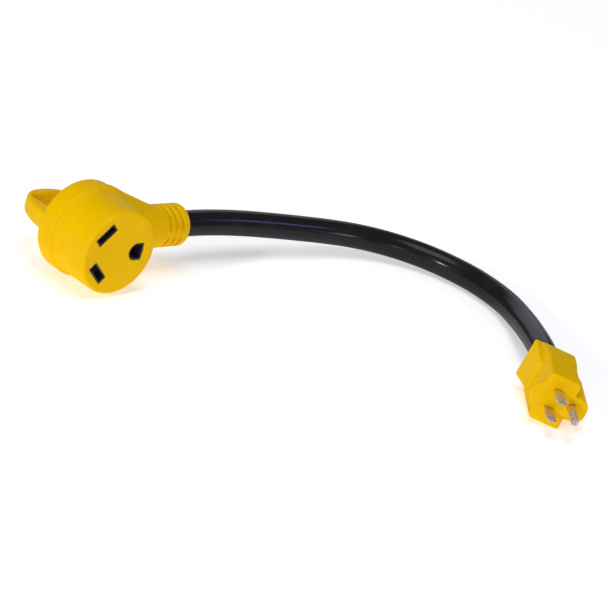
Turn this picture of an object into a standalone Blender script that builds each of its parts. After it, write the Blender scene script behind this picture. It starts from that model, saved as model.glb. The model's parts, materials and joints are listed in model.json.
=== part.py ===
"""Adapter cord for a travel trailer: a right-angle 30 A connector, a short thick cord and a 15 A plug.

Lengths in the code are millimetres and are turned into metres when a mesh is made. The connector is
drawn in its own frame: +X along the neck, +Y from the front face to the handle, +Z across, with the
origin at the centre of the front face. The plug is drawn with +Z out of its face, +X from the neutral
blade to the hot blade and +Y towards the ground pin. Two empties stand both on the floor.
"""
import math

import bmesh
import bpy
from mathutils import Matrix, Vector

MM = 0.001
GAP = 0.3                     # air between pieces that touch

# connector body
FACE_RADIUS = 27.75
BARREL_RADIUS = 28.1          # where the barrel meets the ring
FACE_FILLET = 2.2
RING_RADIUS = 30.0
RING_FRONT = 29.6
RING_CHAMFER = 1.9
RING_EDGE = 6.0
BACK = 46.0
NECK_DEPTH = 31.3             # distance of the neck's axis behind the face
NECK_RADIUS = 13.65
NECK_END = 73.5
NECK_EDGE = 3.0
FLARE = ((4.0, 27.7), (11.5, 28.4), (30.0, 21.2), (40.0, 17.2), (46.0, 14.9), (50.5, NECK_RADIUS))  # height
GROOVE_STATIONS = (55.7, 60.9, 66.1)
GROOVE_WIDTH = 1.9
GROOVE_DEPTH = 1.6
SPINE_WIDTH = 4.4
REAR_GROOVE_HEIGHT = 17.0      # the grooves are shorter on the far side
HEAD_ROLL = math.radians(2.3)

# finger handle behind the ring
HANDLE_HALF_THICKNESS = 6.0
HANDLE_EDGE = 1.8
HANDLE_BASE = (27.9, 34.0)    # half the width and the distance behind the face, inside the ring
SIDE_LEAN = 11.31             # degrees
END_CENTRE = 52.3
END_RADIUS = 30.0
HANDLE_CORNER = 10.5
HANDLE_HOLE = ((-12.2, 44.0), (-14.0, 74.2), (14.0, 74.2), (12.2, 44.0))
HOLE_CORNER = 3.6

# openings in the face and the contact carrier behind them
SLOT_CENTRE = (13.5, 12.5)    # distance from the axis along -X and along Z
SLOT_LENGTH = 14.9
SLOT_WIDTH = 6.2
GROUND_CENTRE = 13.3
GROUND_RADIUS = 5.6
GROUND_FLAT = 18.5
BOSS_WALL = 0.55
BOSS_FRONT = 0.4
FACE_SKIN = 2.6
CHAMBER_RADIUS = 24.6
CARRIER_BACK = 22.0
RETAINER_BACK = 24.8
CHAMBER_BACK = 41.0
NECK_BORE = 7.0

# contacts and conductors
CRIMP_OUTER = 2.6
CRIMP_INNER = 1.9
CRIMP_LENGTH = 7.0
STRAND_RADIUS = 1.55
WIRE_RADIUS = 2.2
WIRE_SPREAD = 2.71            # distance of each conductor from the middle of the bundle
POST_HALF = 1.1

# plug
PLUG_MIDDLE = 0.8             # the body's middle, towards the hot blade
PLUG_TOP = -9.6
PLUG_CORNER = 2.2
LOBE_CORNER = 6.4
PLUG_LENGTH = 49.0
PLUG_EDGE = 1.0
PLUG_SECTIONS = (             # station, half width, shoulder, half the lobe's width, lobe's end
    (0.0, 16.3, 11.4, 8.15, 22.3),
    (-22.0, 16.3, 11.4, 8.15, 22.3),
    (-31.0, 16.3, 12.6, 8.15, 22.3),
    (-PLUG_LENGTH, 13.6, 15.1, 6.85, 17.1),
)
PAD_EDGE = 0.8
PAD_SECTIONS = (              # station, half width, top
    (-PLUG_LENGTH + 0.1, 12.9, -13.2),
    (-PLUG_LENGTH + 1.1, 13.3, -13.85),
    (-25.2, 10.5, -11.4),
    (-24.0, 10.3, -10.8),
    (-23.4, 10.3, -9.0),
)
LIP_CENTRE = (0.5, -6.4)      # the round lip that stops the thumb, flush with the face
LIP_RADIUS = 9.0
BRIDGE_FRONT = 2.6
BRIDGE_BACK = 16.0
ROOM_BACK = 36.5              # the hollow behind the bridge, where the wires draw together
PLUG_BORE_CENTRE = 1.0
BLADE_SPACING = 12.7
BLADE_WIDTH = 6.35
BLADE_THICKNESS = 1.52
BLADE_LENGTH = 17.0
PIN_RADIUS = 2.4
PIN_LENGTH = 20.3
PIN_OFFSET = 11.9
PLUG_ORIGIN = (167.6, -217.0, 18.8)
PLUG_ACROSS = (-0.1619, 0.1585, -0.9740)
PLUG_FORWARD = (-0.6693, -0.7430, -0.0096)

# cord: points of its centre line between the neck and the plug, in the frame of the floor
CORD_RADIUS = 8.4
CORD_ROUTE = (
    (94.0, 31.3, 26.0),
    (120.0, 29.4, 24.0),
    (145.5, 25.7, 21.6),
    (171.3, 21.2, 18.8),
    (196.8, 15.7, 16.1),
    (220.1, 7.8, 13.6),
    (239.1, -4.2, 11.5),
    (253.4, -20.2, 10.0),
    (263.1, -39.8, 8.9),
    (267.2, -63.0, 8.5),
    (264.0, -90.2, 8.6),
    (253.6, -113.3, 10.0),
    (239.3, -134.3, 13.2),
    (220.6, -158.3, 17.2),
)
CORD_SPACING = 16.0

# the origin is below the middle of the connector
ORIGIN_SHIFT = (-22.0, -41.15, 0.0)

YELLOW = (0.83, 0.53, 0.005, 1.0)
BLACK_PLASTIC = (0.02, 0.018, 0.025, 1.0)
CORD_BLACK = (0.012, 0.012, 0.014, 1.0)
BRASS = (0.72, 0.50, 0.18, 1.0)
NICKEL = (0.66, 0.63, 0.58, 1.0)
COPPER = (0.75, 0.33, 0.16, 1.0)
WIRE_BLACK = (0.02, 0.02, 0.02, 1.0)
WIRE_WHITE = (0.85, 0.85, 0.82, 1.0)
WIRE_GREEN = (0.02, 0.30, 0.07, 1.0)
NYLON = (0.70, 0.68, 0.62, 1.0)


def clear_scene():
    for obj in list(bpy.data.objects):
        bpy.data.objects.remove(obj, do_unlink=True)


def material(name, colour, roughness, metallic=0.0):
    mat = bpy.data.materials.new(name)
    mat.use_nodes = True
    shader = mat.node_tree.nodes["Principled BSDF"]
    shader.inputs["Base Color"].default_value = colour
    shader.inputs["Roughness"].default_value = roughness
    shader.inputs["Metallic"].default_value = metallic
    return mat


def add_object(name, data, parent=None):
    obj = bpy.data.objects.new(name, data)
    bpy.context.scene.collection.objects.link(obj)
    obj.parent = parent
    return obj


def solid(name, vertices, faces):
    """A closed body from vertices in millimetres, with its faces turned outwards."""
    mesh = bpy.data.meshes.new(name)
    mesh.from_pydata([tuple(c * MM for c in v) for v in vertices], [], faces)
    shape = bmesh.new()
    shape.from_mesh(mesh)
    bmesh.ops.recalc_face_normals(shape, faces=shape.faces)
    shape.to_mesh(mesh)
    shape.free()
    return add_object(name, mesh)


def loft(name, rings):
    """A body through rings of equal point count, closed flat at both ends."""
    count = len(rings[0])
    vertices = [point for ring in rings for point in ring]
    faces = [tuple(range(count)), tuple(range((len(rings) - 1) * count, len(rings) * count))]
    for start in range(0, (len(rings) - 1) * count, count):
        for i in range(count):
            j = (i + 1) % count
            faces.append((start + i, start + j, start + count + j, start + count + i))
    return solid(name, vertices, faces)


def lathe(name, profile, steps, place):
    """A turned body; profile holds (radius, station) pairs and place maps them into 3-D."""
    angles = [2 * math.pi * k / steps for k in range(steps)]
    return loft(name, [[place(r, a, station) for a in angles] for r, station in profile])


def about_y(centre=(0.0, 0.0)):
    return lambda r, a, y: (centre[0] + r * math.cos(a), y, centre[1] + r * math.sin(a))


def about_x(centre):
    return lambda r, a, x: (x, centre[0] + r * math.cos(a), centre[1] + r * math.sin(a))


def about_z(centre=(0.0, 0.0)):
    return lambda r, a, z: (centre[0] + r * math.cos(a), centre[1] + r * math.sin(a), z)


def cylinder(name, radius, start, end, steps, place):
    return lathe(name, ((radius, start), (radius, end)), steps, place)


def prism_y(name, outline, start, end):
    """An outline of (x, z) points run along Y."""
    return loft(name, [[(x, y, z) for x, z in outline] for y in (start, end)])


def prism_z(name, outline, start, end):
    """An outline of (x, y) points run along Z."""
    return loft(name, [[(x, y, z) for x, y in outline] for z in (start, end)])


def box(name, low, high):
    outline = ((low[0], low[1]), (high[0], low[1]), (high[0], high[1]), (low[0], high[1]))
    return prism_z(name, outline, low[2], high[2])


def arc(centre, radius, start, end, steps):
    """Points on an arc, with its angles in degrees."""
    points = []
    for k in range(steps + 1):
        angle = math.radians(start + (end - start) * k / steps)
        points.append((centre[0] + radius * math.cos(angle), centre[1] + radius * math.sin(angle)))
    return points


def rounded(outline, radius, steps=3):
    """The same closed outline with each corner turned into an arc of about this radius."""
    points = []
    count = len(outline)
    for i, corner in enumerate(outline):
        here = Vector(corner)
        before = (Vector(outline[i - 1]) - here).normalized()
        after = (Vector(outline[(i + 1) % count]) - here).normalized()
        cut = radius / math.tan(before.angle(after) / 2)
        start = here + before * cut
        end = here + after * cut
        for k in range(steps + 1):
            t = k / steps
            points.append(tuple((1 - t) ** 2 * start + 2 * t * (1 - t) * here + t ** 2 * end))
    return points


def weld(mesh):
    """Join points that a Boolean left almost on top of each other."""
    shape = bmesh.new()
    shape.from_mesh(mesh)
    bmesh.ops.remove_doubles(shape, verts=shape.verts, dist=0.00001)
    shape.to_mesh(mesh)
    shape.free()


def combine(base, others, operation):
    for other in others:
        modifier = base.modifiers.new(operation.lower(), "BOOLEAN")
        modifier.operation = operation
        modifier.object = other
    bpy.context.view_layer.update()
    graph = bpy.context.evaluated_depsgraph_get()
    base.data = bpy.data.meshes.new_from_object(base.evaluated_get(graph))
    base.modifiers.clear()
    for other in others:
        bpy.data.objects.remove(other, do_unlink=True)
    weld(base.data)
    return base


def fuse(base, *others):
    return combine(base, others, "UNION")


def carve(base, *cutters):
    return combine(base, cutters, "DIFFERENCE")


def finish(obj, mat, parent):
    obj.data.materials.clear()
    obj.data.materials.append(mat)
    obj.data.shade_smooth()
    obj.data.set_sharp_from_angle(angle=math.radians(35))
    obj.parent = parent
    return obj


# ---------------------------------------------------------------- connector


def face_slot(name, side, length, width, start, end):
    """A slanted blade slot; side is +1 for the hot slot and -1 for the neutral one."""
    along = Vector((1.0, side)).normalized()
    across = Vector((-along.y, along.x))
    centre = Vector((-SLOT_CENTRE[0], side * SLOT_CENTRE[1]))
    corners = ((-1, -1), (1, -1), (1, 1), (-1, 1))
    outline = [tuple(centre + along * (i * length / 2) + across * (j * width / 2)) for i, j in corners]
    return prism_y(name, outline, start, end)


def ground_opening(name, inset, start, end):
    """The D-shaped ground opening, round towards the middle and flat on the outside."""
    radius = GROUND_RADIUS - inset
    outline = arc((GROUND_CENTRE, 0.0), radius, 90, 270, 12)
    outline += [(GROUND_FLAT - inset, -radius), (GROUND_FLAT - inset, radius)]
    return prism_y(name, outline, start, end)


def body_of_revolution():
    front = arc((FACE_FILLET, FACE_RADIUS - FACE_FILLET), FACE_FILLET, 180, 90, 4)
    rear = arc((BACK - RING_EDGE, RING_RADIUS - RING_EDGE), RING_EDGE, 90, 0, 5)
    ring = [(RING_FRONT - 1.0, BARREL_RADIUS), (RING_FRONT + 0.2, BARREL_RADIUS + 0.7)]
    ring.append((RING_FRONT + RING_CHAMFER, RING_RADIUS))
    return lathe("barrel", [(r, y) for y, r in front + ring + rear], 64, about_y())


def neck():
    """The flare from the barrel into the neck, a run of ellipses, with the neck's rounded end."""
    stations = [(x, NECK_RADIUS, half_height) for x, half_height in FLARE]
    edge = arc((NECK_END - NECK_EDGE, NECK_RADIUS - NECK_EDGE), NECK_EDGE, 90, 0, 3)
    stations += [(x, r, r) for x, r in edge]
    rings = []
    for x, half_depth, half_height in stations:
        ring = []
        for k in range(32):
            angle = 2 * math.pi * k / 32
            ring.append((x, NECK_DEPTH + half_depth * math.cos(angle), half_height * math.sin(angle)))
        rings.append(ring)
    return loft("neck", rings)


def grooves():
    cutters = []
    for station in GROOVE_STATIONS:
        inner = NECK_RADIUS - GROOVE_DEPTH
        low, high = station - GROOVE_WIDTH / 2, station + GROOVE_WIDTH / 2
        ring = cylinder("groove", NECK_RADIUS + 3, low, high, 24, about_x((NECK_DEPTH, 0.0)))
        core = cylinder("core", inner, low - 1, high + 1, 36, about_x((NECK_DEPTH, 0.0)))
        spine = box("spine", (low - 1, 0.0, -SPINE_WIDTH / 2), (high + 1, 2 * NECK_DEPTH, SPINE_WIDTH / 2))
        far = NECK_DEPTH + 0.5
        above = box("above", (low - 1, far, REAR_GROOVE_HEIGHT / 2), (high + 1, 2 * NECK_DEPTH, NECK_RADIUS + 4))
        below = box("below", (low - 1, far, -NECK_RADIUS - 4), (high + 1, 2 * NECK_DEPTH, -REAR_GROOVE_HEIGHT / 2))
        cutters.append(carve(ring, core, spine, above, below))
    return cutters


def handle_outline(inset):
    """Straight sides that draw together towards a gently arched end, with large corners."""
    corner, end = HANDLE_CORNER - inset, END_RADIUS - inset
    lean = math.radians(SIDE_LEAN)
    reach = END_RADIUS - HANDLE_CORNER
    middle = HANDLE_BASE[0] * math.cos(lean) + (HANDLE_BASE[1] - END_CENTRE) * math.sin(lean) - HANDLE_CORNER
    turn = math.degrees(lean + math.acos(middle / reach))
    x, y = reach * math.cos(math.radians(turn)), reach * math.sin(math.radians(turn))
    base = HANDLE_BASE[0] - inset
    outline = [(-base, HANDLE_BASE[1]), (base, HANDLE_BASE[1])]
    outline += arc((x, END_CENTRE + y), corner, SIDE_LEAN, turn, 4)
    outline += arc((0.0, END_CENTRE), end, turn, 180 - turn, 6)[1:-1]
    outline += arc((-x, END_CENTRE + y), corner, 180 - turn, 180 - SIDE_LEAN, 4)
    return outline


def handle():
    half, edge = HANDLE_HALF_THICKNESS, HANDLE_EDGE
    rings = []
    for inset, z in ((edge, -half), (edge * 0.3, -half + edge * 0.3), (0.0, -half + edge)):
        rings.append([(x, y, z) for x, y in handle_outline(inset)])
    rings += [[(x, y, -z) for x, y, z in ring] for ring in reversed(rings)]
    hole = prism_z("hole", rounded(HANDLE_HOLE, HOLE_CORNER, 3), -half - 5, half + 5)
    return loft("loop", rings), hole


def connector_body(mat, parent):
    body = body_of_revolution()
    loop, hole = handle()
    fuse(body, carve(neck(), *grooves()), carve(loop, hole))
    chamber = cylinder("chamber", CHAMBER_RADIUS, FACE_SKIN, CHAMBER_BACK, 48, about_y())
    bore = cylinder("bore", NECK_BORE, 10.0, NECK_END + 5, 24, about_x((NECK_DEPTH, 0.0)))
    carve(body, chamber, bore)
    for side in (1, -1):
        carve(body, face_slot("slot", side, SLOT_LENGTH, SLOT_WIDTH, -2.0, FACE_SKIN + 1))
    carve(body, ground_opening("ground", 0.0, -2.0, FACE_SKIN + 1))
    body.name = "connector_body"
    return finish(body, mat, parent)


def contact_carrier(mat, parent):
    front = FACE_SKIN + GAP
    carrier = cylinder("contact_carrier", CHAMBER_RADIUS - GAP, front, CARRIER_BACK, 48, about_y())
    for side in (1, -1):
        boss = face_slot("boss", side, SLOT_LENGTH - 2 * GAP, SLOT_WIDTH - 2 * GAP, BOSS_FRONT, front + 1)
        fuse(carrier, boss)
    fuse(carrier, ground_opening("ground_boss", GAP, BOSS_FRONT, front + 1))
    inset = GAP + BOSS_WALL
    for side in (1, -1):
        length, width = SLOT_LENGTH - 2 * inset, SLOT_WIDTH - 2 * inset
        carve(carrier, face_slot("pocket", side, length, width, -1.0, CARRIER_BACK + 1))
    carve(carrier, ground_opening("ground_pocket", inset, -1.0, CARRIER_BACK + 1))
    return finish(carrier, mat, parent)


def contact_posts():
    """Where each contact's post passes through the retainer, as (x, z)."""
    return {
        "hot": (-SLOT_CENTRE[0], SLOT_CENTRE[1]),
        "neutral": (-SLOT_CENTRE[0], -SLOT_CENTRE[1]),
        "ground": (GROUND_CENTRE, 0.0),
    }


def contact_retainer(mat, parent):
    start = CARRIER_BACK + GAP
    plate = cylinder("contact_retainer", CHAMBER_RADIUS - GAP, start, RETAINER_BACK, 48, about_y())
    for centre in contact_posts().values():
        carve(plate, cylinder("post_hole", 2.2, start - 1, RETAINER_BACK + 1, 12, about_y(centre)))
    return finish(plate, mat, parent)


def bundle_offset(pole):
    """A conductor's place in the bundle, as (across, sideways) from its middle."""
    if pole == "ground":
        return -WIRE_SPREAD, 0.0
    side = 1 if pole == "hot" else -1
    return WIRE_SPREAD / 2, side * WIRE_SPREAD * math.sqrt(3) / 2


def crimp_x(centre, start):
    tube = cylinder("crimp", CRIMP_OUTER, start, start + CRIMP_LENGTH, 12, about_x(centre))
    return carve(tube, cylinder("bore", CRIMP_INNER, start + 1.0, start + CRIMP_LENGTH + 1, 12, about_x(centre)))


def blade_contact(name, side, mat, parent):
    """Two spring leaves joined by a web, with a post back to a crimp that faces the neck."""
    post_x, post_z = contact_posts()["hot" if side > 0 else "neutral"]
    across, _ = bundle_offset("hot")
    leaf_gap, leaf_outer, leaf_length = 1.5, 1.95, 12.0
    contact = face_slot(name, side, leaf_length, 2 * leaf_outer, 8.0, CARRIER_BACK - 1.0)
    carve(contact, face_slot("gap", side, leaf_length + 2, leaf_gap * 2 - 1.2, 7.0, CARRIER_BACK - 2.5))
    crimp_y = NECK_DEPTH + across
    post = prism_y("post", square(post_x, post_z, POST_HALF), CARRIER_BACK - 1.5, crimp_y - CRIMP_INNER - 0.2)
    crimp = crimp_x((crimp_y, post_z), post_x - POST_HALF - 0.4)
    fuse(contact, post, crimp)
    return finish(contact, mat, parent)


def square(x, z, half):
    return ((x - half, z - half), (x + half, z - half), (x + half, z + half), (x - half, z + half))


def ground_contact(mat, parent):
    """A split sleeve for the round pin, with its crimp straight in line with the neck."""
    outer, inner = 4.3, 3.4
    centre = (GROUND_CENTRE, 0.0)
    across, _ = bundle_offset("ground")
    contact = cylinder("ground_contact", outer, 8.0, CARRIER_BACK - 1.0, 16, about_y(centre))
    carve(contact, cylinder("bore", inner, 7.0, CARRIER_BACK - 2.5, 16, about_y(centre)))
    low, high = (GROUND_CENTRE - 0.5, 5.0, -outer - 1), (GROUND_CENTRE + 0.5, CARRIER_BACK - 5.0, outer + 1)
    carve(contact, box("split", low, high))
    crimp_y = NECK_DEPTH + across
    post = prism_y("post", square(*centre, POST_HALF), CARRIER_BACK - 1.5, crimp_y - CRIMP_INNER - 0.2)
    crimp = crimp_x((crimp_y, 0.0), GROUND_CENTRE - POST_HALF - 0.4)
    fuse(contact, post, crimp)
    return finish(contact, mat, parent)


def smooth_path(points, spacing):
    """Points about this far apart on a smooth curve through the given ones."""
    knots = [Vector(p) for p in points]
    knots = [2 * knots[0] - knots[1]] + knots + [2 * knots[-1] - knots[-2]]
    path = []
    for i in range(1, len(knots) - 2):
        p0, p1, p2, p3 = knots[i - 1:i + 3]
        steps = max(1, round((p2 - p1).length / spacing))
        for k in range(steps):
            t = k / steps
            cubic = 2 * p1 + (p2 - p0) * t
            cubic += (2 * p0 - 5 * p1 + 4 * p2 - p3) * t ** 2 + (3 * p1 - p0 - 3 * p2 + p3) * t ** 3
            path.append(cubic / 2)
    path.append(knots[-2])
    return path


def s_bend(start, end, axis, lead, run, steps=8):
    """Straight for the lead, eased sideways over the run, then straight on to the end."""
    start, end = Vector(start), Vector(end)
    side = end - start
    side[axis] = 0.0
    onward = math.copysign(1.0, end[axis] - start[axis])
    path = [start]
    for k in range(steps + 1):
        t = k / steps
        point = start + side * (t * t * (3 - 2 * t))
        point[axis] = start[axis] + onward * (lead + run * t)
        path.append(point)
    path.append(end)
    return path


def tube(name, points, radius, resolution, mat, parent):
    """A round cord along points in millimetres, with filled ends."""
    curve = bpy.data.curves.new(name, "CURVE")
    curve.dimensions = "3D"
    curve.bevel_depth = radius * MM
    curve.bevel_resolution = resolution
    curve.use_fill_caps = True
    spline = curve.splines.new("POLY")
    spline.points.add(len(points) - 1)
    for slot, point in zip(spline.points, points):
        slot.co = (point[0] * MM, point[1] * MM, point[2] * MM, 1.0)
    curve.materials.append(mat)
    return add_object(name, curve, parent)


def head_wire(pole, start_x, mats, parent):
    """One insulated conductor from its crimp to the end of the neck, with its bare strands."""
    across, aside = bundle_offset(pole)
    y = NECK_DEPTH + across
    z = contact_posts()[pole][1]
    strand_start = start_x - CRIMP_LENGTH + 1.3
    strands = cylinder(f"{pole}_strands_connector", STRAND_RADIUS, strand_start, start_x, 10, about_x((y, z)))
    finish(strands, mats["copper"], parent)
    path = s_bend((start_x + GAP, y, z), (NECK_END - GAP, y, aside), 0, 3.0, 30.0)
    tube(f"{pole}_wire_connector", path, WIRE_RADIUS, 2, mats[pole], parent)


# ---------------------------------------------------------------- plug


def t_outline(half, shoulder, lobe_half, lobe_end, inset=0.0):
    """A cross section: a wide part for the blades and a rounded lobe for the ground pin."""
    wide, lobe, r = half - inset, lobe_half - inset, PLUG_CORNER
    top, low, end = PLUG_TOP + inset, shoulder - inset, lobe_end - inset
    corner = min(LOBE_CORNER, end - low)
    outline = arc((r - wide, top + r), r, 180, 270, 2)
    outline += arc((wide - r, top + r), r, 270, 360, 2)
    outline += arc((wide - r, low - r), r, 0, 90, 2)
    outline.append((lobe, low))
    outline += arc((lobe - corner, end - corner), corner, 0, 90, 4)
    outline += arc((corner - lobe, end - corner), corner, 90, 180, 4)
    outline.append((-lobe, low))
    outline += arc((r - wide, low - r), r, 90, 180, 2)
    return [(x + PLUG_MIDDLE, y) for x, y in outline]


def plug_shell():
    """The plug's outer shape as a run of sections, with its front and rear edges eased."""
    rings = []
    for station, *shape in PLUG_SECTIONS:
        eased = {0.0: ((0.0, PLUG_EDGE), (-PLUG_EDGE, 0.0)),
                 -PLUG_LENGTH: ((PLUG_EDGE, 0.0), (0.0, PLUG_EDGE))}.get(station, ((0.0, 0.0),))
        for along, inset in eased:
            rings.append([(x, y, station + along) for x, y in t_outline(*shape, inset)])
    return loft("plug_body", rings)


def plug_body(mat, parent):
    body = plug_shell()
    fuse(body, thumb_pad(), thumb_lip())
    carve(body, prism_z("bridge_room", bridge_outline(GAP), -ROOM_BACK, -BRIDGE_FRONT))
    bore = cylinder("bore", NECK_BORE, -PLUG_LENGTH - 5, -ROOM_BACK + 1, 24, about_z((0.0, PLUG_BORE_CENTRE)))
    carve(body, bore)
    for side in (-1, 1):
        carve(body, blade_box("blade_hole", side, GAP, -BRIDGE_FRONT - 1, 2.0))
    carve(body, cylinder("pin_hole", PIN_RADIUS + GAP, -BRIDGE_FRONT - 1, 2.0, 16, about_z((0.0, PIN_OFFSET))))
    return finish(body, mat, parent)


def thumb_pad():
    """The raised pad on the blades' side, narrow at the front and dropping to the body there."""
    base = PLUG_TOP + 2.0
    rings = []
    for z, half, top in PAD_SECTIONS:
        flat = half - PAD_EDGE
        section = ((-half, base), (half, base), (half, top + PAD_EDGE), (flat, top), (-flat, top), (-half, top + PAD_EDGE))
        rings.append([(x + PLUG_MIDDLE, y, z) for x, y in section])
    return loft("pad", rings)


def thumb_lip():
    """Half a disc that stands up along the face's edge and slopes off behind."""
    x, y = LIP_CENTRE
    rings = []
    for z, inset, drop in ((-6.0, 1.0, 4.6), (-3.4, 0.4, 0.4), (-2.6, 0.8, 0.0), (-0.8, 0.0, 0.0), (-0.02, 0.8, 0.0)):
        crown = arc((x, y + drop), LIP_RADIUS - inset, 200, 340, 10)
        rings.append([(u, v, z) for u, v in crown + [(x + 4.0, PLUG_TOP + 2.0), (x - 4.0, PLUG_TOP + 2.0)]])
    return loft("lip", rings)


def bridge_outline(grow=0.0):
    wide, lobe = 10.6 + grow, 5.2 + grow
    return (
        (-wide, -5.0 - grow), (wide, -5.0 - grow), (wide, 5.5 + grow), (lobe, 5.5 + grow),
        (lobe, 17.5 + grow), (-lobe, 17.5 + grow), (-lobe, 5.5 + grow), (-wide, 5.5 + grow),
    )


def blade_box(name, side, grow, start, end):
    x = side * BLADE_SPACING / 2
    half_thickness = BLADE_THICKNESS / 2 + grow
    half_width = BLADE_WIDTH / 2 + grow
    return box(name, (x - half_thickness, -half_width, start), (x + half_thickness, half_width, end))


def blade_bridge(mat, parent):
    bridge = prism_z("blade_bridge", bridge_outline(), -BRIDGE_BACK, -BRIDGE_FRONT - GAP)
    for side in (-1, 1):
        carve(bridge, blade_box("slot", side, GAP, -BRIDGE_BACK - 1, 0.0))
    carve(bridge, cylinder("hole", PIN_RADIUS + GAP, -BRIDGE_BACK - 1, 0.0, 16, about_z((0.0, PIN_OFFSET))))
    return finish(bridge, mat, parent)


def crimp_z(centre, start):
    tube_end = start - CRIMP_LENGTH
    crimp = cylinder("crimp", CRIMP_OUTER, tube_end, start, 12, about_z(centre))
    return carve(crimp, cylinder("bore", CRIMP_INNER, tube_end - 1, start - 1.0, 12, about_z(centre)))


def plug_blade(name, side, mat, parent):
    """A flat blade with a chamfered tip, which ends in a crimp behind the bridge."""
    x = side * BLADE_SPACING / 2
    t, w = BLADE_THICKNESS / 2, BLADE_WIDTH / 2
    rings = []
    for z, thin, narrow in ((-BRIDGE_BACK - GAP, 0.0, 0.0), (BLADE_LENGTH - 1.6, 0.0, 0.0), (BLADE_LENGTH, 0.45, 0.9)):
        dx, dy = t - thin, w - narrow
        rings.append([(x - dx, -dy, z), (x + dx, -dy, z), (x + dx, dy, z), (x - dx, dy, z)])
    blade = loft(name, rings)
    fuse(blade, crimp_z((x, 0.0), -BRIDGE_BACK - GAP + 0.05))
    return finish(blade, mat, parent)


def ground_pin(mat, parent):
    centre = (0.0, PIN_OFFSET)
    tip = arc((PIN_LENGTH - PIN_RADIUS, 0.0), PIN_RADIUS, 90, 15, 4)
    profile = [(PIN_RADIUS, -BRIDGE_BACK - GAP)] + [(r, z) for z, r in tip]
    pin = lathe("ground_pin", profile, 20, about_z(centre))
    fuse(pin, crimp_z(centre, -BRIDGE_BACK - GAP + 0.05))
    return finish(pin, mat, parent)


def plug_wire(pole, mats, parent):
    spots = {"hot": (BLADE_SPACING / 2, 0.0), "neutral": (-BLADE_SPACING / 2, 0.0), "ground": (0.0, PIN_OFFSET)}
    x, y = spots[pole]
    across, aside = bundle_offset(pole)
    bore_x, bore_y = aside, PLUG_BORE_CENTRE - across
    end = -BRIDGE_BACK - GAP - CRIMP_LENGTH
    strands = cylinder(f"{pole}_strands_plug", STRAND_RADIUS, end, end + CRIMP_LENGTH - 1.3, 10, about_z((x, y)))
    finish(strands, mats["copper"], parent)
    path = s_bend((x, y, end - GAP), (bore_x, bore_y, -PLUG_LENGTH + GAP), 2, 2.4, 11.0)
    tube(f"{pole}_wire_plug", path, WIRE_RADIUS, 2, mats[pole], parent)


# ---------------------------------------------------------------- whole


def head_frame():
    frame = add_object("head_frame", None)
    shift = Vector(ORIGIN_SHIFT) + Vector((0.0, 0.0, RING_RADIUS))
    frame.matrix_world = Matrix.Translation(shift * MM) @ Matrix.Rotation(HEAD_ROLL, 4, "Y")
    return frame


def plug_frame():
    frame = add_object("plug_frame", None)
    forward = Vector(PLUG_FORWARD).normalized()
    across = Vector(PLUG_ACROSS)
    across = (across - forward * across.dot(forward)).normalized()
    up = forward.cross(across)
    turn = Matrix((across, up, forward)).transposed().to_4x4()
    place = Vector(PLUG_ORIGIN) + Vector(ORIGIN_SHIFT)
    frame.matrix_world = Matrix.Translation(place * MM) @ turn
    return frame


def cord_path(head, plug):
    """The centre line from the neck's end to the plug's back, in millimetres in the floor's frame."""
    start = [head.matrix_world @ (Vector((NECK_END + d, NECK_DEPTH, 0.0)) * MM) for d in (GAP, 8.0)]
    back = [(0.0, PLUG_BORE_CENTRE, -PLUG_LENGTH - d) for d in (10.0, GAP)]
    end = [plug.matrix_world @ (Vector(p) * MM) for p in back]
    middle = [Vector(p) + Vector(ORIGIN_SHIFT) for p in CORD_ROUTE]
    points = [p / MM for p in start] + middle + [p / MM for p in end]
    return smooth_path(points, CORD_SPACING)


def build():
    clear_scene()
    yellow = material("yellow_pvc", YELLOW, 0.38)
    black = material("black_plastic", BLACK_PLASTIC, 0.45)
    brass = material("contact_brass", BRASS, 0.3, 1.0)
    nickel = material("nickel_plate", NICKEL, 0.22, 1.0)
    nylon = material("nylon", NYLON, 0.5)
    jacket = material("cord_jacket", CORD_BLACK, 0.25)
    wires = {
        "copper": material("copper", COPPER, 0.35, 1.0),
        "hot": material("wire_black", WIRE_BLACK, 0.4),
        "neutral": material("wire_white", WIRE_WHITE, 0.4),
        "ground": material("wire_green", WIRE_GREEN, 0.4),
    }
    head = head_frame()
    plug = plug_frame()
    bpy.context.view_layer.update()

    connector_body(yellow, head)
    contact_carrier(black, head)
    contact_retainer(black, head)
    blade_contact("hot_contact", 1, brass, head)
    blade_contact("neutral_contact", -1, brass, head)
    ground_contact(brass, head)
    for pole in ("hot", "neutral", "ground"):
        post_x = contact_posts()[pole][0]
        head_wire(pole, post_x - POST_HALF - 0.4 + CRIMP_LENGTH, wires, head)

    tube("cord_jacket", cord_path(head, plug), CORD_RADIUS, 4, jacket, None)

    plug_body(yellow, plug)
    blade_bridge(nylon, plug)
    plug_blade("neutral_blade", -1, nickel, plug)
    plug_blade("hot_blade", 1, nickel, plug)
    ground_pin(nickel, plug)
    for pole in ("hot", "neutral", "ground"):
        plug_wire(pole, wires, plug)


build()
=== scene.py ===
import json
import math

import bmesh
import bpy
import numpy as np
from mathutils import Matrix, Vector


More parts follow.
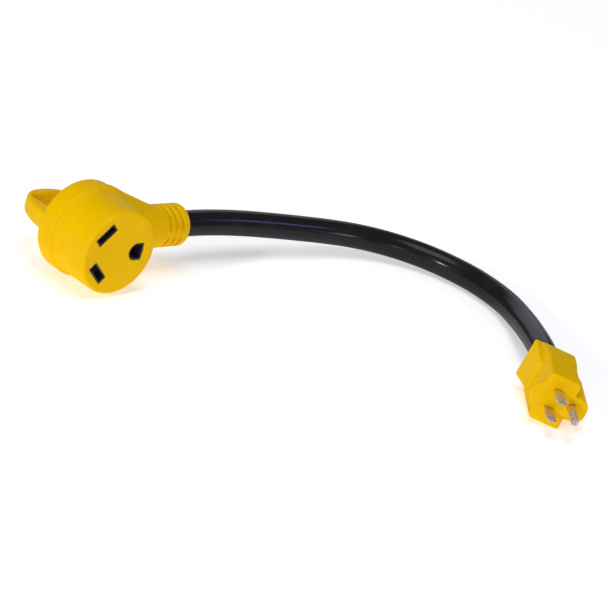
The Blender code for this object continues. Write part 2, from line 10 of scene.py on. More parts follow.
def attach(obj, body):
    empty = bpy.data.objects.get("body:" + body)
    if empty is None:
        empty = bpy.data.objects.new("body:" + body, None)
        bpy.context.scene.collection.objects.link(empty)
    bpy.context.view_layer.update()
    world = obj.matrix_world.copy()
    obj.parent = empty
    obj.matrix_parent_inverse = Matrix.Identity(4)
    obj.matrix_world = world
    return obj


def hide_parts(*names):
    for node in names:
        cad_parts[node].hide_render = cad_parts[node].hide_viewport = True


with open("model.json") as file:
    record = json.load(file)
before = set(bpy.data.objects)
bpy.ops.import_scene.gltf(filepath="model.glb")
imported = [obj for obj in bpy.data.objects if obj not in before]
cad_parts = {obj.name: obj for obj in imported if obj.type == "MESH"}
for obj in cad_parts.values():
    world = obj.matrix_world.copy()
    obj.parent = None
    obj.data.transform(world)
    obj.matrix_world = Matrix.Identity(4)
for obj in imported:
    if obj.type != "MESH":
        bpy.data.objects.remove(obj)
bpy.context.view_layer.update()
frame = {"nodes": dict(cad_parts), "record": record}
MM = 0.001                                    # places and sizes below are in millimetres

# ------------------------------------------------------------------ places
# HEAD and PLUG place the two mouldings in the frame. Each moulding has its own axes. The connector's
# start in the middle of its face, with x towards the neck and y to the back. The plug's start on its
# face between the blades, with x from blade to blade, y towards the ground pin and z out of the face.

HEAD_ROLL = math.radians(2.3)
FLOOR_SHIFT = Vector((-22.0, -41.15, 0.0))    # from the fitted axes of route and camera to the frame
PLUG_PLACE = Vector((167.6, -217.0, 18.8))
PLUG_FORWARD = Vector((-0.6693, -0.7430, -0.0096))
PLUG_ACROSS = Vector((-0.1619, 0.1585, -0.9740))
CAMERA_PLACE = Vector((-923.1, -956.9, 600.73))
CAMERA_RIGHT = Vector((0.71222, -0.65973, 0.23979))
CAMERA_UP = Vector((0.11658, 0.44803, 0.88639))


def placed(point):
    """A fitted point in millimetres as a place in the frame."""
    return (Vector(point) + FLOOR_SHIFT) * MM


def plug_matrix():
    forward = PLUG_FORWARD.normalized()
    across = (PLUG_ACROSS - forward * PLUG_ACROSS.dot(forward)).normalized()
    turn = Matrix((across, forward.cross(across), forward)).transposed().to_4x4()
    return Matrix.Translation(placed(PLUG_PLACE)) @ turn


FACE = Vector(next(m for m in frame["record"]["mounts"] if m["name"] == "connector_face")["pos_m"])
HEAD = Matrix.Translation(FACE) @ Matrix.Rotation(HEAD_ROLL, 4, "Y")
PLUG = plug_matrix()

# ------------------------------------------------------------------ sizes

CORD_RADIUS = 8.4
RECESS = 2.2                                  # how far the cord goes into each moulding
RECESS_RADIUS = 8.62
RECESS_END = RECESS + 0.3
WIRE_BORE_RADIUS = 7.0                        # the passage from the cord to the inside

BARREL_RADIUS = 27.75
BARREL_DRAFT = 0.012
BARREL_END = 43.0
RING_RADIUS = 30.0
RING_FRONT = 29.9
RING_BACK = 46.0
CHAMBER_RADIUS = 24.6
CHAMBER_FRONT = 2.6
CHAMBER_BACK = 41.0
NECK_END = 73.5
NECK_DEPTH = 31.3                             # how far its axis lies behind the face
NECK_RADIUS = 13.65
FLARE_LEAN = math.radians(21.8)
FLARE_RADIUS = 30.85
GROOVE_STATIONS = (55.7, 60.9, 66.1)
GROOVE_HALF_WIDTH = 1.05
GROOVE_DEPTH = 1.6
GROOVE_SPINE = 2.2                            # half the width of the plain strip between them
GROOVE_REAR_HALF = 8.5                        # how far up and down they reach on the rear side
HANDLE_START = 30.0
HANDLE_HALF_WIDTH = 25.5
HANDLE_TAPER = 0.2
HANDLE_HALF_HEIGHT = 6.0
HANDLE_ROUND = (52.3, 30.0)                   # middle and radius of its end
HOLE_MIDDLE = 58.6
HOLE_HALF_LENGTH = 15.6
HOLE_HALF_WIDTH = 13.0                        # at HOLE_WIDTH_AT, growing outwards by HOLE_FLARE
HOLE_WIDTH_AT = 60.0
HOLE_FLARE = 0.06
SLOT_PLACE = (13.54, 12.55)                   # to the left of the middle, and above or below it
SLOT_SIZE = (15.15, 6.46)
GROUND_PLACE = 13.3
GROUND_RADIUS = 5.75
GROUND_FLAT = 18.5
OPENING_DEPTH = 4.0

PLUG_BACK = -49.0
PLUG_BORE = 1.0                               # how far the cord's axis lies from the blades' line
PLUG_OFFSET = 0.8                             # how far the moulding sits to one side of the blades
PLUG_TOP = 9.6
PLUG_BOTTOM = 11.4
PLUG_HALF_WIDTH = 16.3
LOBE_END = 22.3
LOBE_HALF_WIDTH = 8.15
PAD_HALF_WIDTH = 10.3
PAD_TOP = 11.2
PAD_FRONT = 24.0
LIP_PLACE = (0.5, -6.4)
LIP_RADIUS = 9.0
ROOM_FRONT = -2.6                             # the room for the blade bridge
ROOM_BACK = -36.5
POCKET_DEPTH = 3.5                            # the blades' holes in the face
POCKET_GAP = 0.05
BLADE_PLACE = 6.35                            # half the distance between the blades
BLADE_HALF = (0.76, 3.175)                    # half thickness and half width
BLADE_END = 17.0
BLADE_TAPER_START = 15.2
PIN_PLACE = 11.9
PIN_RADIUS = 2.4
PIN_END = 20.3
SHANK_BACK = -16.3
CRIMP_BACK = -23.3
CRIMP_RADIUS = 2.6
CRIMP_BORE = 1.9
CRIMP_BORE_FRONT = -17.3


# ------------------------------------------------------------------ camera

def make_camera():
    back = CAMERA_RIGHT.cross(CAMERA_UP).normalized()
    up = back.cross(CAMERA_RIGHT).normalized()
    turn = Matrix((CAMERA_RIGHT.normalized(), up, back)).transposed().to_4x4()
    data = bpy.data.cameras.new("camera")
    data.sensor_width = 36.0
    data.lens = 142.105
    data.clip_start, data.clip_end = 0.05, 50.0
    cam = bpy.data.objects.new("camera", data)
    cam.matrix_world = Matrix.Translation(placed(CAMERA_PLACE)) @ turn
    bpy.context.scene.collection.objects.link(cam)
    bpy.context.scene.camera = cam


make_camera()


# ------------------------------------------------------------------ meshes

def mesh_object(name, vertices, faces, mat):
    mesh = bpy.data.meshes.new(name)
    mesh.from_pydata(vertices, [], faces)
    mesh.validate()
    mesh.shade_smooth()
    mesh.materials.append(mat)
    obj = bpy.data.objects.new(name, mesh)
    bpy.context.scene.collection.objects.link(obj)
    return obj


def smooth_path(points, spacing):
    """Points about this far apart on a smooth curve through the given ones."""
    knots = [Vector(p) for p in points]
    knots = [2 * knots[0] - knots[1]] + knots + [2 * knots[-1] - knots[-2]]
    path = []
    for i in range(1, len(knots) - 2):
        p0, p1, p2, p3 = knots[i - 1:i + 3]
        steps = max(1, round((p2 - p1).length / spacing))
        for k in range(steps):
            t = k / steps
            cubic = 2 * p1 + (p2 - p0) * t
            cubic += (2 * p0 - 5 * p1 + 4 * p2 - p3) * t ** 2 + (3 * p1 - p0 - 3 * p2 + p3) * t ** 3
            path.append(cubic / 2)
    path.append(knots[-2])
    return path


def relaxed(path, rounds):
    """The same path with its small kinks eased, ends and their directions kept."""
    pts = np.array(path, float)
    for _ in range(rounds):
        pts[2:-2] += 0.5 * ((pts[1:-3] + pts[3:-1]) / 2 - pts[2:-2])
    return [Vector(p) for p in pts]


ROUTE_SPACING = 0.002
ROUTE_ROUNDS = 12
CORD_SIDES = 48
CORD_ROUTE = (
    (94.0, 31.3, 26.0),
    (120.0, 29.4, 24.0),
    (145.5, 25.7, 21.6),
    (171.3, 21.2, 18.8),
    (196.8, 15.7, 16.1),
    (220.1, 7.8, 13.6),
    (239.1, -4.2, 11.5),
    (253.4, -20.2, 10.0),
    (263.1, -39.8, 8.9),
    (267.2, -63.0, 8.5),
    (264.0, -90.2, 8.6),
    (253.6, -113.3, 10.0),
    (239.3, -134.3, 13.2),
    (220.6, -158.3, 17.2),
)


def cord_line():
    start = [HEAD @ (Vector((NECK_END + d, NECK_DEPTH, 0.0)) * MM) for d in (-RECESS, 8.0)]
    end = [PLUG @ (Vector((0.0, PLUG_BORE, PLUG_BACK - d)) * MM) for d in (10.0, -RECESS)]
    middle = [placed(p) for p in CORD_ROUTE]
    return relaxed(smooth_path(start + middle + end, ROUTE_SPACING), ROUTE_ROUNDS)


def tube(name, path, radius, sides, mat):
    """A round bar along a path, turned as little as it can be along its way."""
    tangents = []
    for i, p in enumerate(path):
        tangents.append((path[min(i + 1, len(path) - 1)] - path[max(i - 1, 0)]).normalized())
    normal = tangents[0].orthogonal().normalized()
    vertices, faces = [], []
    for p, t in zip(path, tangents):
        normal = (normal - t * normal.dot(t)).normalized()
        side = t.cross(normal)
        for k in range(sides):
            a = 2 * math.pi * k / sides
            vertices.append(p + normal * (radius * math.cos(a)) + side * (radius * math.sin(a)))
    for i in range(len(path) - 1):
        for k in range(sides):
            j = (k + 1) % sides
            a, b = i * sides, (i + 1) * sides
            faces.append((a + k, b + k, b + j, a + j))
    faces.append(tuple(range(sides)))
    faces.append(tuple(reversed(range((len(path) - 1) * sides, len(path) * sides))))
    obj = mesh_object(name, vertices, faces, mat)
    shape = bmesh.new()
    shape.from_mesh(obj.data)
    bmesh.ops.recalc_face_normals(shape, faces=shape.faces)
    shape.to_mesh(obj.data)
    shape.free()
    return obj


# ------------------------------------------------------------------ distance fields
# The mouldings are drawn as signed distances in millimetres, negative inside.

def round_union(a, b, r):
    """The part inside either, with a fillet of radius r where they meet."""
    u, v = np.maximum(r - a, 0), np.maximum(r - b, 0)
    return np.maximum(r, np.minimum(a, b)) - np.hypot(u, v)


def round_both(a, b, r):
    """The part inside both, with its edge rounded."""
    u, v = np.maximum(r + a, 0), np.maximum(r + b, 0)
    return np.minimum(-r, np.maximum(a, b)) + np.hypot(u, v)


def round_cut(a, b, r):
    """a without b, with the edge rounded."""
    return round_both(a, -b, r)


def rect(x, y, cx, cy, hx, hy, r=0.0):
    """Distance to a rectangle with rounded corners.

    r is one radius, or four in the order (++, -+, --, +-) of the quadrants.
    """
    u, v = x - cx, y - cy
    if isinstance(r, tuple):
        r = np.where(u > 0, np.where(v > 0, r[0], r[3]), np.where(v > 0, r[1], r[2]))
    dx, dy = np.abs(u) - hx + r, np.abs(v) - hy + r
    return np.hypot(np.maximum(dx, 0), np.maximum(dy, 0)) + np.minimum(np.maximum(dx, dy), 0) - r


def ease(a, b, t):
    """From a to b as t goes from 0 to 1, with a soft start and end."""
    t = np.clip(t, 0, 1)
    return a + (b - a) * t * t * (3 - 2 * t)


CORNERS = [(i, j, k) for i in (0, 1) for j in (0, 1) for k in (0, 1)]


def crossed_cells(inside):
    """The cells that the surface crosses, and their numbers in an array over all cells."""
    shape = tuple(n - 1 for n in inside.shape)
    count = np.zeros(shape, np.uint8)
    for i, j, k in CORNERS:
        count += inside[i:i + shape[0], j:j + shape[1], k:k + shape[2]]
    active = (count > 0) & (count < 8)
    cells = np.argwhere(active)
    index = np.full(shape, -1, np.int64)
    index[active] = np.arange(len(cells))
    return cells, index


def crossing_points(grid, cells):
    """For each cell, the mean of the points where its edges cross the surface, in cell units."""
    values = {c: grid[cells[:, 0] + c[0], cells[:, 1] + c[1], cells[:, 2] + c[2]] for c in CORNERS}
    total, hits = np.zeros((len(cells), 3)), np.zeros(len(cells))
    for a in CORNERS:
        for axis in range(3):
            if a[axis]:
                continue
            b = tuple(v + (i == axis) for i, v in enumerate(a))
            cross = (values[a] < 0) != (values[b] < 0)
            t = np.where(cross, values[a] / np.where(cross, values[a] - values[b], 1), 0)
            point = np.tile(np.array(a, float), (len(cells), 1))
            point[:, axis] += t
            total += point * cross[:, None]
            hits += cross
    return cells + total / hits[:, None]


def cell_quads(inside, index):
    """A quad across each grid edge that crosses the surface, turned outwards."""
    quads = []
    for axis in range(3):
        u, v = (axis + 1) % 3, (axis + 2) % 3
        lower = [slice(1, -1)] * 3
        upper = [slice(1, -1)] * 3
        lower[axis], upper[axis] = slice(0, -1), slice(1, None)
        first, second = inside[tuple(lower)], inside[tuple(upper)]
        for here, flip in ((first & ~second, False), (~first & second, True)):
            at = np.argwhere(here)
            at[:, u] += 1
            at[:, v] += 1
            ring = []
            for du, dv in ((-1, -1), (0, -1), (0, 0), (-1, 0)):
                c = at.copy()
                c[:, u] += du
                c[:, v] += dv
                ring.append(index[c[:, 0], c[:, 1], c[:, 2]])
            quad = np.stack(ring, 1)
            quads.append(quad[:, ::-1] if flip else quad)
    return np.concatenate(quads)


def settle(field, points, cell):
    """The points moved along the field's slope onto its zero surface."""
    h = 0.05 * cell
    for _ in range(4):
        x, y, z = points.T
        d = field(x, y, z)
        slope = np.stack([
            field(x + h, y, z) - field(x - h, y, z),
            field(x, y + h, z) - field(x, y - h, z),
            field(x, y, z + h) - field(x, y, z - h)], 1) / (2 * h)
        square = np.maximum((slope ** 2).sum(1), 0.25)
        step = slope * (d / square)[:, None]
        size = np.linalg.norm(step, axis=1)
        step *= np.minimum(1, 0.5 * cell / np.maximum(size, 1e-9))[:, None]
        points = points - step
    return points


def surface(name, field, low, high, cell, place, mat):
    """A closed mesh of the field's zero surface, with one point in each cell that it crosses."""
    axes = []
    for lo, hi in zip(low, high):
        axes.append(np.arange(lo - 1.5 * cell, hi + 2.5 * cell, cell, dtype=np.float32))
    grid = field(axes[0][:, None, None], axes[1][None, :, None], axes[2][None, None, :])
    grid = np.ascontiguousarray(np.broadcast_to(grid, [len(a) for a in axes]), dtype=np.float32)
    inside = grid < 0
    cells, index = crossed_cells(inside)
    start = np.array([a[0] for a in axes], float)
    points = settle(field, start + crossing_points(grid, cells) * cell, cell)
    quads = cell_quads(inside, index)
    m = np.array(place)
    points = points * MM @ m[:3, :3].T + m[:3, 3]
    return mesh_object(name, points.tolist(), quads.tolist(), mat)


# ------------------------------------------------------------------ connector

def flare_height(x):
    """Half the flare's height at x: round like the ring, then straight, then the neck's radius."""
    start = FLARE_RADIUS * math.sin(FLARE_LEAN)
    ring = RING_RADIUS + ease(0.0, 0.85, x / start)
    with_ring = np.sqrt(ring ** 2 - np.square(np.clip(x, 0, start)))
    with_ring = with_ring - 2.6 * (1 - np.clip(x / start, 0, 1))
    straight = (FLARE_RADIUS - x * math.sin(FLARE_LEAN)) / math.cos(FLARE_LEAN)
    height = np.where(x < start, with_ring, straight) - NECK_RADIUS
    return NECK_RADIUS + 0.5 * (height + np.hypot(height, 0.9))


def neck_field(x, y, z):
    """The flare and the neck, elliptic in section, with the grooves cut in."""
    depth = y - NECK_DEPTH
    r = NECK_RADIUS
    h = flare_height(x)
    q = np.sqrt(np.maximum((depth / r) ** 2 + (z / h) ** 2, 1e-6))
    slope = np.hypot(depth / (r * r), z / (h * h)) / q
    d = (q - 1) / np.maximum(slope, 1e-4)
    d = round_cut(d, groove_field(x, y, z, d), 0.6)
    d = round_both(d, x - NECK_END, 3.0)
    return np.maximum(d, -2.0 - x)


def groove_field(x, y, z, d):
    """Three grooves, broken by a plain strip in front and behind, and shorter behind."""
    groove = np.full(np.broadcast(x, y, z).shape, 1e3, np.float32)
    for station in GROOVE_STATIONS:
        groove = np.minimum(groove, np.abs(x - station) - GROOVE_HALF_WIDTH)
    groove = np.maximum(groove, -(d + GROOVE_DEPTH))
    groove = round_both(groove, GROOVE_SPINE - np.abs(z), 0.5)
    reach = np.minimum(y - NECK_DEPTH - 0.5, np.abs(z) - GROOVE_REAR_HALF)
    return round_both(groove, reach, 0.5)


def handle_field(x, y, z):
    """The finger handle behind the ring: sides that lean in, a round end and a hole."""
    lean = HANDLE_TAPER * (y - RING_BACK)
    sides = (np.abs(x) - HANDLE_HALF_WIDTH + lean) / math.hypot(1.0, HANDLE_TAPER)
    outer = round_both(sides, np.hypot(x, y - HANDLE_ROUND[0]) - HANDLE_ROUND[1], 10.5)
    loop = np.maximum(outer, HANDLE_START - y)
    loop = round_both(loop, np.abs(z) - HANDLE_HALF_HEIGHT, 3.2)
    half_width = HOLE_HALF_WIDTH + HOLE_FLARE * (y - HOLE_WIDTH_AT)
    hole = rect(x, y, 0.0, HOLE_MIDDLE, half_width, HOLE_HALF_LENGTH, 3.6)
    return round_cut(loop, hole, 2.4)


def slot_field(x, z, side):
    """One of the face's two slots, each at 45 degrees."""
    across, up = x + SLOT_PLACE[0], z - side * SLOT_PLACE[1]
    u = (across + side * up) / math.sqrt(2)
    v = (-across * side + up) / math.sqrt(2)
    return rect(u, v, 0, 0, SLOT_SIZE[0] / 2, SLOT_SIZE[1] / 2, 0.35)


def ground_field(x, z):
    """The face's D-shaped opening."""
    disc = np.hypot(x - GROUND_PLACE, z) - GROUND_RADIUS
    middle, half = (GROUND_PLACE + GROUND_FLAT) / 2, (GROUND_FLAT - GROUND_PLACE) / 2
    return np.minimum(disc, rect(x, z, middle, 0.0, half, GROUND_RADIUS))


def connector_field(x, y, z):
    r = np.hypot(x, z)
    barrel = round_both(r - BARREL_RADIUS - BARREL_DRAFT * y, -y, 2.2)
    barrel = round_both(barrel, y - BARREL_END, 2.0)
    ring = round_both(r - RING_RADIUS, y - RING_BACK, 6.0)
    ring = round_both(ring, RING_FRONT - y, 1.3)
    body = round_union(barrel, ring, 2.0)
    body = round_union(body, neck_field(x, y, z), 3.0)
    body = round_union(body, handle_field(x, y, z), 2.5)
    reach = np.hypot(y - NECK_DEPTH, z)
    chamber = np.maximum(np.maximum(r - CHAMBER_RADIUS, CHAMBER_FRONT - y), y - CHAMBER_BACK)
    body = np.maximum(body, -chamber)
    body = np.maximum(body, -np.maximum(reach - WIRE_BORE_RADIUS, 10.0 - x))
    body = round_cut(body, np.maximum(reach - RECESS_RADIUS, NECK_END - RECESS_END - x), 0.3)
    openings = ground_field(x, z)
    for side in (1, -1):
        openings = np.minimum(openings, slot_field(x, z, side))
    openings = np.maximum(openings, y - OPENING_DEPTH)
    return round_cut(body, openings, 0.25)


# ------------------------------------------------------------------ plug

def plug_section(x, y, z):
    """The T of the plug's cross section, which narrows towards the back."""
    back = np.clip((-31.0 - z) / 18.0, 0, 1)
    u = x - PLUG_OFFSET
    bottom = PLUG_BOTTOM + 0.03 * u + 3.7 * np.clip((-22.0 - z) / 27.0, 0, 1)
    middle, half = (bottom - PLUG_TOP) / 2, (bottom + PLUG_TOP) / 2
    wide = rect(u, y, 0.0, middle, PLUG_HALF_WIDTH - 2.7 * back, half, (1.8, 2.4, 2.2, 4.4))
    end = LOBE_END - 5.2 * back
    lobe = rect(u, y, 0.0, end / 2, LOBE_HALF_WIDTH - 1.3 * back, end / 2, (5.8, 7.2, 1.0, 1.0))
    return round_union(wide, lobe, 1.2)


def grip_pad(x, y, z):
    """The raised pad on the plug's top, wider and higher towards the back."""
    u = x - PLUG_OFFSET
    along = (-PAD_FRONT - z) / 25.0
    pad = round_both(np.abs(u) - PAD_HALF_WIDTH - 3.1 * along, -PAD_TOP - 2.75 * along - y, 1.1)
    pad = round_both(pad, z + PAD_FRONT - 0.25 * (y + PLUG_TOP), 1.4)
    pad = round_both(pad, PLUG_BACK - z, 1.6)
    return np.maximum(pad, y + 4.0)


def thumb_lip(x, y, z):
    """The round lip that stands flush with the plug's face."""
    lip = round_both(np.hypot(x - LIP_PLACE[0], y - LIP_PLACE[1]) - LIP_RADIUS, z, 1.2)
    return round_both(lip, -z - 2.6 - 0.3 * (y + 15.4), 1.0)


def plug_field(x, y, z):
    body = round_both(plug_section(x, y, z), z, 1.4)
    body = round_both(body, PLUG_BACK - z, 1.8)
    body = round_union(body, grip_pad(x, y, z), 0.5)
    body = round_union(body, thumb_lip(x, y, z), 1.2)
    room = np.minimum(rect(x, y, 0.0, 0.25, 10.9, 5.55), rect(x, y, 0.0, 6.25, 5.5, 11.55))
    room = np.maximum(room, np.maximum(z - ROOM_FRONT, ROOM_BACK - z))
    body = np.maximum(body, -room)
    reach = np.hypot(x, y - PLUG_BORE)
    body = np.maximum(body, -np.maximum(reach - WIRE_BORE_RADIUS, z - ROOM_BACK - 1.0))
    body = round_cut(body, np.maximum(reach - RECESS_RADIUS, z - PLUG_BACK - RECESS_END), 0.3)
    half = [size + POCKET_GAP for size in BLADE_HALF]
    blades = rect(np.abs(x) - BLADE_PLACE, y, 0.0, 0.0, *half, 0.1)
    pin = np.hypot(x, y - PIN_PLACE) - PIN_RADIUS - POCKET_GAP
    pockets = np.maximum(np.minimum(blades, pin), -POCKET_DEPTH - z)
    return round_cut(body, pockets, 0.12)


def crimp_field(reach, z):
    """The crimp behind a blade or the pin, open at the back for the strands."""
    along = np.maximum(z - SHANK_BACK - 0.05, CRIMP_BACK - z)
    bore = np.maximum(reach - CRIMP_BORE, z - CRIMP_BORE_FRONT)
    return round_cut(np.maximum(reach - CRIMP_RADIUS, along), bore, 0.1)


def blade_field(side):
    def field(x, y, z):
        u = x - side * BLADE_PLACE
        taper = np.clip((z - BLADE_TAPER_START) / (BLADE_END - BLADE_TAPER_START), 0, 1)
        half_thickness, half_width = BLADE_HALF
        blade = rect(u, y, 0.0, 0.0, half_thickness - 0.38 * taper, half_width - 0.8 * taper, 0.16)
        blade = round_both(blade, z - BLADE_END, 0.3)
        blade = round_both(blade, SHANK_BACK - z, 0.1)
        return round_union(blade, crimp_field(np.hypot(u, y), z), 0.3)
    return field


def pin_field(x, y, z):
    reach = np.hypot(x, y - PIN_PLACE)
    pin = round_both(reach - PIN_RADIUS, z - PIN_END, 2.1)
    pin = np.maximum(pin, SHANK_BACK - z)
    return round_union(pin, crimp_field(reach, z), 0.3)


# ------------------------------------------------------------------ materials

def linear(r, g, b):
    """An 8-bit sRGB colour as linear light."""
    out = []
    for c in (r, g, b):
        c /= 255
        out.append(c / 12.92 if c <= 0.04045 else ((c + 0.055) / 1.055) ** 2.4)
    return (*out, 1.0)


class Shader:
    """A node material being wired up."""

    def __init__(self, name):
        self.mat = bpy.data.materials.new(name)
        self.mat.use_nodes = True
        self.tree = self.mat.node_tree
        self.out = self.tree.nodes["Principled BSDF"]
        self.coords = self.add("ShaderNodeTexCoord").outputs["Object"]

    def add(self, kind, **values):
        node = self.tree.nodes.new(kind)
        for key, value in values.items():
            if hasattr(node, key):
                setattr(node, key, value)
            else:
                node.inputs[key.replace("_", " ")].default_value = value
        return node

    def link(self, a, b):
        self.tree.links.new(a, b)

    def noise(self, size, detail=3.0, roughness=0.5, vector=None):
        """Noise whose features are about this many metres across."""
        node = self.add("ShaderNodeTexNoise", Scale=1.0 / size, Detail=detail, Roughness=roughness)
        self.link(vector or self.coords, node.inputs["Vector"])
        return node.outputs["Fac"]

    def ramp(self, value, low, high, a, b):
        """a to b as the value goes from low to high."""
        node = self.add("ShaderNodeMapRange")
        node.inputs["From Min"].default_value = low
        node.inputs["From Max"].default_value = high
        node.inputs["To Min"].default_value = a
        node.inputs["To Max"].default_value = b
        self.link(value, node.inputs["Value"])
        return node.outputs["Result"]

    def mix(self, factor, a, b):
        node = self.add("ShaderNodeMix", data_type="RGBA")
        self.link(factor, node.inputs["Factor"])
        for socket, value in ((node.inputs[6], a), (node.inputs[7], b)):
            if isinstance(value, tuple):
                socket.default_value = value
            else:
                self.link(value, socket)
        return node.outputs[2]

    def math(self, operation, a, b):
        node = self.add("ShaderNodeMath", operation=operation)
        for socket, value in zip(node.inputs, (a, b)):
            if isinstance(value, (int, float)):
                socket.default_value = value
            else:
                self.link(value, socket)
        return node.outputs[0]

    def bump(self, height, depth, strength):
        """A normal from a 0 to 1 height that stands for this many metres."""
        node = self.add("ShaderNodeBump", Strength=strength, Distance=depth)
        self.link(height, node.inputs["Height"])
        return node.outputs["Normal"]

    def set(self, **values):
        for key, value in values.items():
            socket = self.out.inputs[key.replace("_", " ")]
            if isinstance(value, bpy.types.NodeSocket):
                self.link(value, socket)
            else:
                socket.default_value = value


def yellow_moulding():
    """Satin yellow with faint blotches and a fine grain, under a thin gloss."""
    s = Shader("yellow_moulding")
    broad = s.noise(0.03, 2.0)
    fine = s.noise(0.0045, 4.0, 0.6)
    grain = s.noise(0.0007, 2.0, 0.5)
    colour = s.mix(s.ramp(broad, 0.35, 0.65, 0, 1), linear(240, 192, 0), linear(234, 185, 0))
    colour = s.mix(s.ramp(fine, 0.55, 0.8, 0, 0.25), colour, linear(214, 164, 4))
    rough = s.math("ADD", s.ramp(fine, 0.3, 0.7, 0.34, 0.42), s.ramp(broad, 0.3, 0.7, -0.02, 0.03))
    height = s.math("ADD", s.math("MULTIPLY", grain, 0.25), s.math("MULTIPLY", fine, 0.75))
    s.set(Base_Color=colour, Roughness=rough, Normal=s.bump(height, 0.00006, 0.6))
    s.set(Specular_IOR_Level=0.0, Coat_Weight=0.12, Coat_Roughness=0.32)
    return s.mat


def cord_rubber():
    """The cord's black jacket under a thin gloss."""
    s = Shader("cord_rubber")
    broad = s.noise(0.02, 2.0)
    fine = s.noise(0.0025, 4.0, 0.6)
    colour = s.mix(s.ramp(broad, 0.35, 0.65, 0, 1), linear(26, 23, 28), linear(34, 30, 34))
    rough = s.ramp(fine, 0.3, 0.7, 0.34, 0.44)
    s.set(Base_Color=colour, Roughness=rough, Normal=s.bump(fine, 0.00004, 0.5))
    s.set(Specular_IOR_Level=0.0, Coat_Weight=0.35, Coat_Roughness=0.2)
    return s.mat


def dark_plastic():
    s = Shader("dark_plastic")
    fine = s.noise(0.002, 3.0)
    colour = s.mix(s.ramp(fine, 0.3, 0.7, 0, 1), linear(40, 36, 48), linear(50, 44, 58))
    rough = s.ramp(fine, 0.3, 0.7, 0.4, 0.55)
    s.set(Base_Color=colour, Roughness=rough, Normal=s.bump(fine, 0.00005, 0.4))
    return s.mat


def brushed_metal(name, light, dark, rough):
    """A metal's colour, roughness and bump, with patches of tarnish and faint drawing lines."""
    s = Shader(name)
    patches = s.noise(0.006, 2.0, 0.5)
    stretch = s.add("ShaderNodeMapping")
    stretch.inputs["Scale"].default_value = (1.0, 1.0, 6.0)
    s.link(s.coords, stretch.inputs["Vector"])
    lines = s.noise(0.003, 2.0, 0.5, stretch.outputs[0])
    colour = s.mix(s.ramp(patches, 0.4, 0.75, 0, 1), light, dark)
    rough = s.ramp(lines, 0.3, 0.7, rough - 0.03, rough + 0.05)
    s.set(Base_Color=colour, Roughness=rough, Normal=s.bump(lines, 0.00002, 0.2))
    return s, colour


def brass_metal():
    s, _ = brushed_metal("brass_finish", linear(222, 184, 104), linear(180, 136, 66), 0.28)
    s.set(Metallic=1.0)
    return s.mat


def tip_greyed_nickel():
    """Nickel plate that is bright at the plug's face and turns a mottled, less metallic grey towards
    the tips.
    """
    light, dark = linear(230, 214, 204), linear(206, 186, 172)
    s, bright = brushed_metal("nickel_plate_finish", light, dark, 0.36)
    forward = PLUG.col[2].xyz
    face = PLUG.translation.dot(forward)
    reach = s.add("ShaderNodeVectorMath", operation="DOT_PRODUCT")
    reach.inputs[1].default_value = forward
    s.link(s.coords, reach.inputs[0])
    # from 7.5 to 10.5 mm out of the face the blades blend from bright nickel to a less metallic grey
    toward_tips = s.ramp(reach.outputs["Value"], face + 0.0075, face + 0.0105, 0, 1)
    mottle = s.ramp(s.noise(0.0015, 2.0), 0.35, 0.65, 0, 1)
    dull = s.mix(mottle, linear(206, 195, 189), linear(158, 145, 138))
    s.set(Base_Color=s.mix(toward_tips, bright, dull), Metallic=s.ramp(toward_tips, 0, 1, 1.0, 0.3))
    return s.mat


def wire_plastic(name, colour, darker):
    s = Shader(name)
    fine = s.noise(0.003, 3.0)
    tint = s.mix(s.ramp(fine, 0.3, 0.7, 0, 1), colour, darker)
    rough = s.ramp(fine, 0.3, 0.7, 0.32, 0.45)
    s.set(Base_Color=tint, Roughness=rough, Normal=s.bump(fine, 0.00003, 0.5))
    return s.mat


def strands():
    """Bare copper with the fine ridges of its twisted strands."""
    s = Shader("copper_strands")
    wave = s.add("ShaderNodeTexWave", wave_type="BANDS", bands_direction="DIAGONAL",
                 Scale=1800.0, Distortion=1.5)
    s.link(s.coords, wave.inputs["Vector"])
    ridges = wave.outputs["Fac"]
    colour = s.mix(ridges, linear(150, 84, 50), linear(226, 150, 104))
    s.set(Base_Color=colour, Roughness=0.34, Metallic=1.0, Normal=s.bump(ridges, 0.0001, 0.6))
    return s.mat


# ------------------------------------------------------------------ stage

FLOOR_HALF = 12.0
LIGHT_TARGET = (0.1, -0.1, 0.02)
# name, place, width and height, watts, colour
LIGHTS = (
    ("key", (-2.8, -0.5, 1.07), (0.2, 0.2), 34, (1.0, 0.99, 0.97)),
    ("front", (-1.4, -2.5, 0.7), (1.0, 0.8), 6, (1.0, 1.0, 1.0)),
    ("top", (-0.4, -0.2, 3.0), (1.8, 1.8), 37, (1.0, 1.0, 1.0)),
    ("rim", (1.85, 2.35, 1.0), (2.8, 1.6), 16, (0.9, 0.95, 1.0)),
    ("strip_white", (0.87, -2.5, 0.4), (0.3, 0.12), 6.5, (1.0, 0.86, 0.74)),
    ("strip_blue", (1.65, -1.65, 1.4), (0.35, 0.2), 5, (0.25, 0.38, 1.0)),
)


def floor_paint():
    """White paper that glows a little, so that it stays white behind the object."""
    s = Shader("studio_floor")
    soft = s.noise(0.6, 2.0)
    colour = s.mix(s.ramp(soft, 0.3, 0.7, 0, 1), linear(246, 246, 246), linear(244, 244, 245))
    s.set(Base_Color=colour, Roughness=0.9)
    s.set(Emission_Color=(1.0, 1.0, 1.0, 1.0), Emission_Strength=0.42)
    return s.mat


def make_stage():
    bpy.context.scene.view_settings.view_transform = "Standard"
    corners = [(x * FLOOR_HALF, y * FLOOR_HALF, 0) for x, y in ((-1, -1), (1, -1), (1, 1), (-1, 1))]
    floor = mesh_object("floor", corners, [(0, 1, 2, 3)], floor_paint())
    world = bpy.data.worlds.new("studio")
    world.use_nodes = True
    sky = world.node_tree.nodes["Background"]
    sky.inputs["Color"].default_value = (0.97, 0.98, 1.0, 1.0)
    sky.inputs["Strength"].default_value = 0.17
    bpy.context.scene.world = world


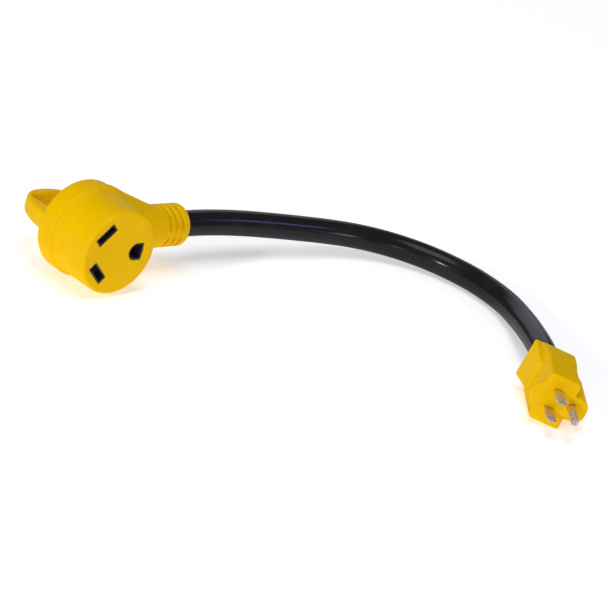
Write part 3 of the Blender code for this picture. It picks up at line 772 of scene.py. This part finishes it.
def area_light(name, place, size, power, colour):
    data = bpy.data.lights.new(name, "AREA")
    data.shape = "RECTANGLE"
    data.size, data.size_y = size
    data.energy = power
    data.color = colour
    obj = bpy.data.objects.new(name, data)
    obj.location = place
    obj.rotation_mode = "QUATERNION"
    obj.rotation_quaternion = (Vector(LIGHT_TARGET) - Vector(place)).to_track_quat("-Z", "Y")
    bpy.context.scene.collection.objects.link(obj)


# ------------------------------------------------------------------ the object

def build_cord(mat):
    line = cord_line()
    cord = tube("cord", line, CORD_RADIUS * MM, CORD_SIDES, mat)
    length = sum((b - a).length for a, b in zip(line, line[1:]))
    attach(cord, "root")
    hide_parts("cord_jacket")
    return cord, line, length


def build_mouldings(mat):
    cell = 0.55
    low, high = (-RING_RADIUS, 0, -RING_RADIUS), (NECK_END, 82.5, RING_RADIUS)
    head = surface("connector", connector_field, low, high, cell, HEAD, mat)
    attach(head, "root")
    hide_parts("connector_body")
    cell = 0.5
    low, high = (-16.0, -16.0, PLUG_BACK), (17.4, 22.5, 0.0)
    plug = surface("plug", plug_field, low, high, cell, PLUG, mat)
    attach(plug, "root")
    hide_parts("plug_body")
    return plug


def build_blades(mat):
    made = []
    cell = 0.3
    for name, side, node in (("blade_neutral", -1, "neutral_blade"), ("blade_hot", 1, "hot_blade")):
        x = side * BLADE_PLACE
        low, high = (x - CRIMP_RADIUS, -3.2, CRIMP_BACK), (x + CRIMP_RADIUS, 3.2, BLADE_END)
        blade = surface(name, blade_field(side), low, high, cell, PLUG, mat)
        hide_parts(node)
        made.append(blade)
    low, high = (-CRIMP_RADIUS, 9.3, CRIMP_BACK), (CRIMP_RADIUS, 14.5, PIN_END)
    pin = surface("pin_ground", pin_field, low, high, cell, PLUG, mat)
    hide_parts("ground_pin")
    made.append(pin)
    for piece in made:
        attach(piece, "root")
    return made


def dress(finishes):
    """The finish on every CAD node that still shows."""
    for name, mat in finishes.items():
        for slot in frame["nodes"][name].material_slots:
            slot.material = mat


make_stage()
for light in LIGHTS:
    area_light(*light)

cord, line, length = build_cord(cord_rubber())
plug = build_mouldings(yellow_moulding())
blades = build_blades(tip_greyed_nickel())

brass = brass_metal()
carrier = dark_plastic()
nylon = wire_plastic("nylon_finish", linear(214, 210, 200), linear(196, 191, 180))
black = wire_plastic("insulation_black", linear(34, 34, 36), linear(24, 24, 26))
white = wire_plastic("insulation_white", linear(232, 231, 226), linear(214, 212, 205))
green = wire_plastic("insulation_green", linear(28, 132, 62), linear(18, 108, 50))
copper = strands()
finishes = {"contact_carrier": carrier, "contact_retainer": carrier, "blade_bridge": nylon}
on_plug = ["blade_bridge"]
for pole, mat in (("hot", black), ("neutral", white), ("ground", green)):
    finishes[f"{pole}_contact"] = brass
    for end in ("connector", "plug"):
        finishes[f"{pole}_wire_{end}"] = mat
        finishes[f"{pole}_strands_{end}"] = copper
    on_plug += [f"{pole}_wire_plug", f"{pole}_strands_plug"]
dress(finishes)
